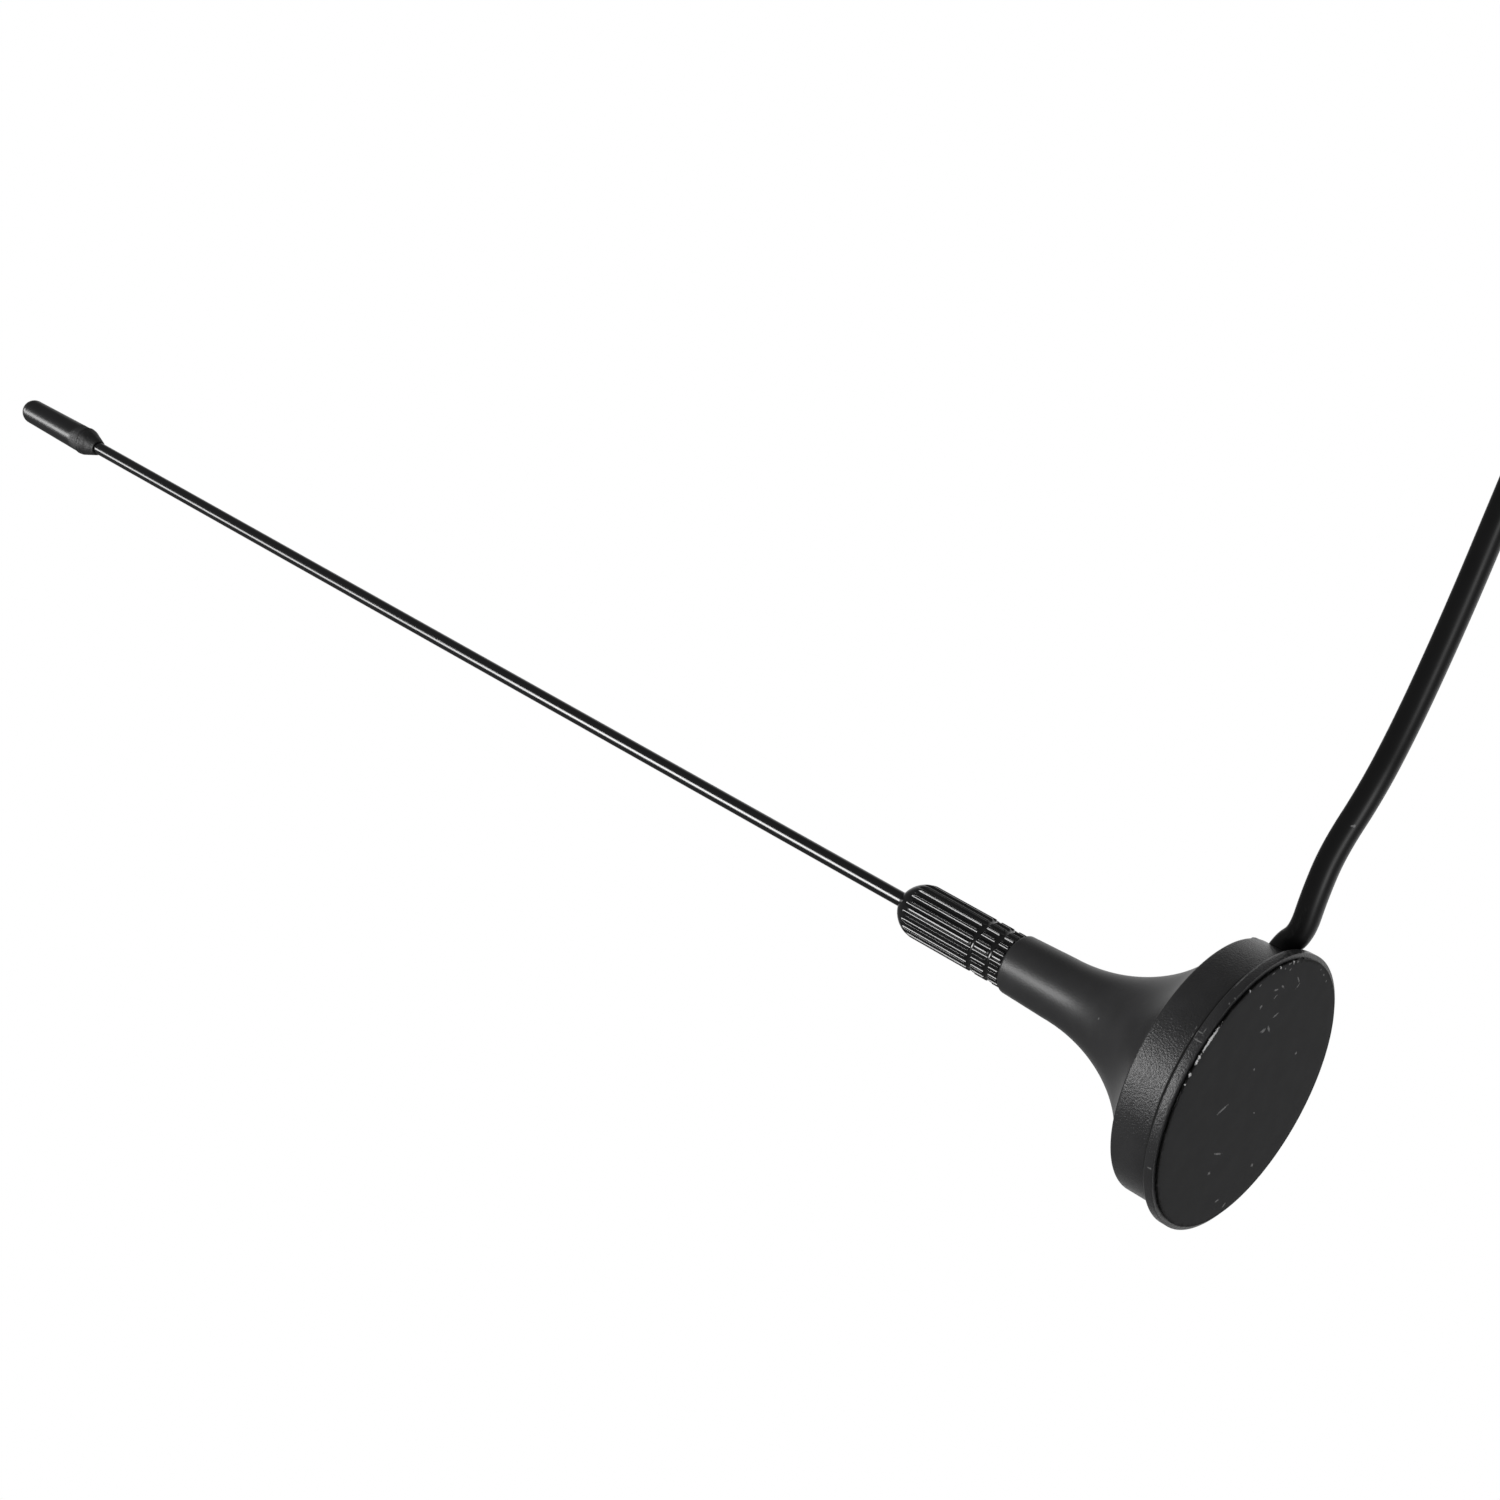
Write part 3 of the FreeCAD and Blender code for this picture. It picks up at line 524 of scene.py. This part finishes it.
pad_axes = add(pad_tree, "SeparateXYZ")
pad_rim_polish = add(pad_tree, "MapRange", {
    "From Min": 0.02 * MM, "From Max": 0.06 * MM, "To Min": pad_roughness, "To Max": rim_roughness})
pad_tree.links.new(pad_where, pad_axes.inputs[0])
pad_tree.links.new(pad_axes.outputs["Z"], pad_rim_polish.inputs["Value"])
pad_tree.links.new(pad_rim_polish.outputs[0], pad_shader.inputs["Roughness"])
paint(pad, pad_black)
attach(pad, "root")
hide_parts("base_pad")


# Collar: turned brass, straight-knurled, plated glossy black. Two ring grooves cross the knurl, the
# ridges run out on the rounded shoulder, and its stud screws into the neck.
collar_low, collar_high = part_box("whip_collar")
whip_low, whip_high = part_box("whip_rod")
collar_radius = collar_high.x
collar_top = collar_high.z
collar_chamfer = 0.3 * MM
collar_mouth = 0.97 * MM
collar_straight = 12 * MM
shoulder_foot = neck_height + collar_straight
stud_radius = 1.45 * MM
socket_clearance = 0.02 * MM
socket_radius = whip_high.x + socket_clearance
ridge_count = 22
flute_radius = 0.34 * MM
flute_depth = 0.26 * MM
flute_rounding = 0.1 * MM
groove_depth = 0.3 * MM
groove_floor = collar_radius - groove_depth
groove_half = 0.36 * MM
groove_edge = 0.06 * MM
groove_sink = collar_radius - groove_edge - groove_floor
groove_radius = (groove_half ** 2 + groove_sink ** 2) / (2 * groove_sink)
groove_turn = math.degrees(math.asin(groove_half / groove_radius))
groove_middles = [neck_height + 1.71 * MM, neck_height + 4.03 * MM]
shoulder_rise = collar_top - shoulder_foot
shoulder_reach = collar_radius - collar_mouth
shoulder_radius = (shoulder_rise ** 2 + shoulder_reach ** 2) / (2 * shoulder_reach)
shoulder_turn = math.degrees(math.asin(shoulder_rise / shoulder_radius))

collar_profile = [
    (0, collar_low.z),
    (stud_radius, collar_low.z),
    (stud_radius, neck_height),
    (collar_radius - collar_chamfer, neck_height),
    (collar_radius, neck_height + collar_chamfer),
]
for middle in groove_middles:
    groove_centre = (groove_floor + groove_radius, middle)
    groove_reach = groove_half + groove_edge
    collar_profile += straight(collar_profile[-1], (collar_radius, middle - groove_reach), 2)
    collar_profile += arc(groove_centre, groove_radius, 180 + groove_turn, 180 - groove_turn, 12)
    collar_profile += [(collar_radius, middle + groove_reach)]
collar_profile += straight(collar_profile[-1], (collar_radius, shoulder_foot), 4)
shoulder_centre = (collar_radius - shoulder_radius, shoulder_foot)
collar_profile += arc(shoulder_centre, shoulder_radius, 0, shoulder_turn, 30)[1:]
collar_profile += [
    (socket_radius, collar_top),
    (socket_radius, whip_low.z),
    (0, whip_low.z),
]
collar = lathe("knurled_collar", collar_profile, ridge_count * 32)
flute_pitch = math.tau / ridge_count
for vertex in collar.data.vertices:
    azimuth = math.atan2(vertex.co.y, vertex.co.x)
    from_flute = (azimuth % flute_pitch - flute_pitch / 2) * collar_radius
    sunk = math.sqrt(max(flute_radius ** 2 - from_flute ** 2, 0)) - flute_radius + flute_depth
    ridge = collar_radius - (sunk + math.hypot(sunk, flute_rounding)) / 2
    radius = vertex.co.xy.length
    if radius > ridge:
        vertex.co.xy *= ridge / radius

plated, plated_tree, plated_shader, plated_where = new_finish(
    "black plating", (0.004, 0.004, 0.0045), roughness=0.2, specular=0.8)
plated_ripple = add(plated_tree, "TexNoise", {"Scale": 700.0, "Detail": 2.0})
plated_polish = add(plated_tree, "MapRange", {"To Min": 0.15, "To Max": 0.22})
plated_bump = add(plated_tree, "Bump", {"Distance": 0.004 * MM})
plated_tree.links.new(plated_where, plated_ripple.inputs["Vector"])
plated_tree.links.new(plated_ripple.outputs[0], plated_polish.inputs["Value"])
plated_tree.links.new(plated_polish.outputs[0], plated_shader.inputs["Roughness"])
plated_tree.links.new(plated_ripple.outputs[0], plated_bump.inputs["Height"])
plated_tree.links.new(plated_bump.outputs[0], plated_shader.inputs["Normal"])
paint(collar, plated)
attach(collar, "root")
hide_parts("whip_collar")


# Whip: a straight spring-steel wire with the collar's glossy black finish. Its ends are chamfered, and it
# is pressed into the collar's socket.
whip_end = 0.1 * MM
whip = lathe("whip_wire", [
    (0, whip_low.z),
    (whip_high.x - whip_end, whip_low.z),
    (whip_high.x, whip_low.z + whip_end),
    *straight((whip_high.x, whip_low.z + whip_end), (whip_high.x, whip_high.z - whip_end), 24),
    (whip_high.x - whip_end, whip_high.z),
    (0, whip_high.z),
], 64)
paint(whip, plated)
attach(whip, "root")
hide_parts("whip_rod")


# Tip cap: a dipped cap of black rubber with a domed end, pushed on the whip. Its body has a satin shine,
# and its flared skirt is dull and rough and draws in to the wire below.
cap_low, cap_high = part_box("tip_cap")
cap_skirt = cap_high.x
cap_mouth = 1.02 * MM
cap_waist = 1.76 * MM
cap_tip = 1.62 * MM
cap_short = 0.6 * MM
cap_foot = cap_low.z + cap_short
cap_crown = cap_high.z - cap_short
skirt_height = cap_foot + 2.5 * MM
skirt_rounding = 0.6 * MM
skirt_band = skirt_rounding / 2
waist_height = cap_foot + 4.2 * MM
dome_height = 1.75 * MM
dome_radius = (cap_tip ** 2 + dome_height ** 2) / (2 * dome_height)
dome_turn = math.degrees(math.asin((dome_height - dome_radius) / dome_radius))
cap = lathe("rubber_cap", [
    (socket_radius, cap_foot),
    (cap_mouth, cap_foot),
    *straight((cap_mouth, cap_foot), (cap_skirt, skirt_height), 16)[:-1],
    *arc((cap_skirt - skirt_rounding, skirt_height + skirt_band), skirt_rounding, -30, 30, 6),
    (cap_waist, waist_height),
    *straight((cap_waist, waist_height), (cap_tip, cap_crown - dome_height), 24),
    *arc((0, cap_crown - dome_radius), dome_radius, -dome_turn, 90, 16)[1:],
    (0, whip_high.z),
    (socket_radius, whip_high.z),
    (socket_radius, cap_foot),
], 96)
cap_roughness = 0.3
skirt_roughness = 0.6
border_reach = 0.4 * MM
border_fade = 0.3 * MM
cap_black, cap_tree, cap_shader, cap_where = moulded(
    "cap rubber", (0.008, 0.008, 0.0085), cap_roughness, grain_size=0.8 * MM, grain_depth=0.16 * MM,
    polished=False)
cap_axes = add(cap_tree, "SeparateXYZ")
cap_ragged = add(cap_tree, "TexNoise", {"Scale": 900.0, "Detail": 3.0})
cap_border = add(cap_tree, "MapRange", {
    "To Min": waist_height - border_reach, "To Max": waist_height + border_reach})
cap_above = add(cap_tree, "Math", operation="SUBTRACT")
skirt_part = add(cap_tree, "MapRange", {"From Min": border_fade, "From Max": -border_fade})
skirt_rough = add(cap_tree, "MapRange", {"To Min": cap_roughness, "To Max": skirt_roughness})
cap_tree.links.new(cap_where, cap_axes.inputs[0])
cap_tree.links.new(cap_where, cap_ragged.inputs["Vector"])
cap_tree.links.new(cap_ragged.outputs[0], cap_border.inputs["Value"])
cap_tree.links.new(cap_axes.outputs["Z"], cap_above.inputs[0])
cap_tree.links.new(cap_border.outputs[0], cap_above.inputs[1])
cap_tree.links.new(cap_above.outputs[0], skirt_part.inputs["Value"])
cap_tree.links.new(skirt_part.outputs[0], skirt_rough.inputs["Value"])
cap_tree.links.new(skirt_part.outputs[0], cap_tree.nodes["Bump"].inputs["Strength"])
cap_tree.links.new(skirt_rough.outputs[0], cap_shader.inputs["Roughness"])
paint(cap, cap_black)
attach(cap, "root")
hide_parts("tip_cap")


# Coax lead: a thin cable with a satin black jacket. It comes out of the slot, folds down over the
# flange, runs off along the floor and ends in a neat tied coil and the plug.
# Points that guide the cable, in mm: from the slot to the coil, then from the coil to the plug
lead_route = [
    (11.9, 0, 4.3),
    (14.3, 0, 4.3),
    (16.1, -0.8, 2.75),
    (20.0, -2.9, 2.6),
    (24.6, -4.3, 2.5),
    (31.2, -5.7, 1.35),
    (38.0, -6.0, 1.35),
    (45.0, -7.1, 1.35),
    (52.0, -8.6, 1.35),
    (60.0, -10.7, 1.35),
    (70.0, -13.3, 1.35),
    (81.0, -15.0, 1.75),
    (91.0, -15.0, 1.75),
]
plug_route = [
    (110.25, 1.2, 4.45),
    (111.8, 10.5, 4.45),
    (111.0, 20.5, 4.6),
    (106.8, 28.0, 5.1),
    (101.4, 31.6, 5.5),
    (94.0, 31.6, 5.5),
]
cable_diameter = 2 * cable_radius / MM
coil_x = 91
coil_y = 4.55
coil_radius = 15.5
coil_low = 1.75
points_in_turn = 15
# Turns in the order in which the cable takes them: row from the floor, column from the inside, points
coil_turns = [
    (0, 3, 13),
    (0, 2, 15),
    (0, 1, 15),
    (0, 0, 14),
    (1, 0, 15),
    (2, 0, 14),
    (2, 1, 14),
    (1, 1, 14),
    (1, 2, 14),
    (2, 2, 14),
    (2, 3, 14),
    (1, 3, 11),
]
coil_route = []
for row, column, points in coil_turns:
    reach = (coil_radius + (column - 1.5) * cable_diameter) / math.cos(math.pi / points_in_turn)
    height = coil_low + row * cable_diameter
    for point in range(points):
        angle = math.tau * (len(coil_route) + 1) / points_in_turn - math.pi / 2
        coil_route.append((coil_x + reach * math.cos(angle), coil_y + reach * math.sin(angle), height))
cable_line = bpy.data.curves.new("coax_lead", "CURVE")
cable_line.dimensions = "3D"
cable_line.bevel_depth = cable_radius
cable_line.bevel_resolution = 8
cable_line.resolution_u = 10
cable_line.use_fill_caps = True
route = lead_route + coil_route + plug_route
spline = cable_line.splines.new("NURBS")
spline.points.add(len(route) - 1)
for point, place in zip(spline.points, route):
    point.co = (*(Vector(place) * MM), 1)
spline.order_u = 3
spline.use_endpoint_u = True
cable = bpy.data.objects.new("coax_lead", cable_line)
bpy.context.scene.collection.objects.link(cable)
jacket, jacket_tree, jacket_shader, jacket_where = moulded(
    "cable jacket", (0.011, 0.011, 0.0115), roughness=0.38, grain_size=0.3 * MM, grain_depth=0.003 * MM)
jacket_nick = (27.4 * MM, -5.98 * MM, 1.16 * MM, 45, 0.4 * MM, 0.12 * MM, 0.25 * MM)
jacket_marks = scuffs(jacket_tree, jacket_where, [jacket_nick])
overlay(jacket_tree, jacket_shader, jacket_marks, (0.25, 0.25, 0.25))
cable_line.materials.append(jacket)
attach(cable, "root")
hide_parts("free_cable", "cable_coil", "plug_lead")
paint(nodes["cable_tail"], jacket)


# Band round the coil: a strip of black woven hook-and-loop strap, wrapped once round the turns and
# pressed shut on itself.
strap, strap_tree, strap_shader, strap_where = new_finish(
    "strap weave", (0.02, 0.02, 0.02), roughness=0.85)
strap_weave = add(strap_tree, "TexNoise", {"Scale": 3500.0, "Detail": 6.0})
strap_bump = add(strap_tree, "Bump", {"Distance": 0.08 * MM})
strap_tree.links.new(strap_where, strap_weave.inputs["Vector"])
strap_tree.links.new(strap_weave.outputs[0], strap_bump.inputs["Height"])
strap_tree.links.new(strap_bump.outputs[0], strap_shader.inputs["Normal"])
paint(nodes["cable_tie"], strap)


# Aerial plug: a moulded black grip with a ribbed strain relief, a nickel-plated barrel, a milky
# insulating disc and a nickel-plated pin.
grip_black = moulded(
    "grip moulding", (0.02, 0.02, 0.021), roughness=0.5, grain_size=0.25 * MM, grain_depth=0.012 * MM)[0]
paint(nodes["plug_grip"], grip_black)
nickel = metal("bright nickel", (0.62, 0.61, 0.58), roughness=0.2, streak_scale=4000.0)
for name in ("plug_shell", "plug_pin"):
    paint(nodes[name], nickel)


# Floor: a plain dull pale sheet just under the antenna, lifted by a little light of its own. It shows
# from above only, so that the pad can be seen from below.
floor_height = -0.2 * MM
bpy.ops.object.select_all(action="DESELECT")
bpy.ops.mesh.primitive_plane_add(size=6, location=(0, 0, floor_height))
floor = bpy.context.object
floor.name = "floor"
sheet = bpy.data.materials.new("pale sheet")
sheet.use_nodes = True
sheet_tree = sheet.node_tree
sheet_tree.nodes.clear()
sheet_out = add(sheet_tree, "OutputMaterial")
sheet_mix = add(sheet_tree, "MixShader")
sheet_clear = add(sheet_tree, "BsdfTransparent")
sheet_pale = add(sheet_tree, "BsdfDiffuse", {"Color": (0.8, 0.8, 0.8, 1)})
sheet_lift = add(sheet_tree, "Emission", {"Color": (1, 1, 1, 1), "Strength": 0.4})
sheet_both = add(sheet_tree, "AddShader")
sheet_path = add(sheet_tree, "LightPath")
sheet_side = add(sheet_tree, "NewGeometry")
sheet_front = add(sheet_tree, "Math", {0: 1.0}, operation="SUBTRACT")
sheet_seen = add(sheet_tree, "Math", operation="MULTIPLY")
sheet_tree.links.new(sheet_side.outputs["Backfacing"], sheet_front.inputs[1])
sheet_tree.links.new(sheet_path.outputs["Is Camera Ray"], sheet_seen.inputs[0])
sheet_tree.links.new(sheet_front.outputs[0], sheet_seen.inputs[1])
sheet_tree.links.new(sheet_seen.outputs[0], sheet_mix.inputs["Fac"])
sheet_tree.links.new(sheet_clear.outputs[0], sheet_mix.inputs[1])
sheet_tree.links.new(sheet_pale.outputs[0], sheet_both.inputs[0])
sheet_tree.links.new(sheet_lift.outputs[0], sheet_both.inputs[1])
sheet_tree.links.new(sheet_both.outputs[0], sheet_mix.inputs[2])
sheet_tree.links.new(sheet_mix.outputs[0], sheet_out.inputs["Surface"])
paint(floor, sheet)


# Studio: a white backdrop behind the antenna, a dim room elsewhere and three soft lamps. One beside the
# camera lights all but the cable, a high one the whip and its cap, and a low one everything from below.
world = bpy.data.worlds.new("studio")
bpy.context.scene.world = world
world.use_nodes = True
studio = world.node_tree
studio.nodes.clear()
studio_out = add(studio, "OutputWorld")
studio_light = add(studio, "Background", {"Color": (1, 1, 1, 1)})
room_level = 0.26
backdrop_from = 0.4
backdrop_full = 0.97
dark_level = 0.12
backdrop_side = (0.34, 0.94, 0)
direction = add(studio, "TexCoord")
behind = add(studio, "VectorMath", {1: backdrop_side}, operation="DOT_PRODUCT")
backdrop = add(studio, "MapRange", {
    "From Min": backdrop_from, "From Max": backdrop_full, "To Min": dark_level})
path = add(studio, "LightPath")
mirrored = add(studio, "Math", operation="MAXIMUM")
reflected = add(studio, "Mix", {2: room_level}, data_type="FLOAT")
seen = add(studio, "Mix", {3: 1.0}, data_type="FLOAT")
studio.links.new(direction.outputs["Generated"], behind.inputs[0])
studio.links.new(behind.outputs["Value"], backdrop.inputs["Value"])
studio.links.new(path.outputs["Is Glossy Ray"], mirrored.inputs[0])
studio.links.new(path.outputs["Is Transmission Ray"], mirrored.inputs[1])
studio.links.new(mirrored.outputs[0], reflected.inputs[0])
studio.links.new(backdrop.outputs[0], reflected.inputs[3])
studio.links.new(path.outputs["Is Camera Ray"], seen.inputs[0])
studio.links.new(reflected.outputs[0], seen.inputs[2])
studio.links.new(seen.outputs[0], studio_light.inputs["Strength"])
studio.links.new(studio_light.outputs[0], studio_out.inputs["Surface"])


def soft_lamp(name, place, aim, width, height, power):
    """Rectangular lamp that faces a point, its height kept upright."""
    lamp = bpy.data.lights.new(name, "AREA")
    lamp.shape = "RECTANGLE"
    lamp.size = width
    lamp.size_y = height
    lamp.energy = power
    holder = bpy.data.objects.new(name, lamp)
    bpy.context.scene.collection.objects.link(holder)
    holder.location = place
    holder.rotation_euler = (Vector(aim) - Vector(place)).to_track_quat("-Z", "Y").to_euler()
    holder.visible_camera = False
    return holder


side_lamp = soft_lamp(
    "side lamp", place=(-0.21, -0.47, 0.32), aim=(0, 0, 0.03), width=0.18, height=0.34, power=2.3)
high_lamp = soft_lamp(
    "high lamp", place=(-0.31, -0.41, 0.66), aim=(0, 0, 0.16), width=0.2, height=0.85, power=4.6)
soft_lamp(
    "low lamp", place=(-0.16, -0.26, -0.5), aim=(0, 0, 0), width=0.3, height=0.14, power=0.75)
beside = bpy.data.collections.new("out of the side lamp")
beside.objects.link(cable)
beside.collection_objects[0].light_linking.link_state = "EXCLUDE"
side_lamp.light_linking.receiver_collection = beside
above = bpy.data.collections.new("lit by the high lamp")
above.objects.link(whip)
above.objects.link(cap)
high_lamp.light_linking.receiver_collection = above


# Camera: close to the base and under it, tilted so that the whip runs up to the left and the cable
# leaves the picture at its right edge.
camera_data = bpy.data.cameras.new("camera")
camera_data.sensor_width = 36
camera_data.lens = 68.84
camera_data.clip_start = 0.01
camera = bpy.data.objects.new("camera", camera_data)
bpy.context.scene.collection.objects.link(camera)
camera_place = Vector((6.19, -262.68, -107.82)) * MM
camera_right = Vector((0.4784, 0.4933, -0.7265))
camera_up = Vector((0.8781, -0.2688, 0.3958))
camera_back = camera_right.cross(camera_up)
turn = Matrix((camera_right, camera_up, camera_back)).transposed()
camera.matrix_world = Matrix.Translation(camera_place) @ turn.normalized().to_4x4()
bpy.context.scene.camera = camera
bpy.context.scene.view_settings.view_transform = "Standard"
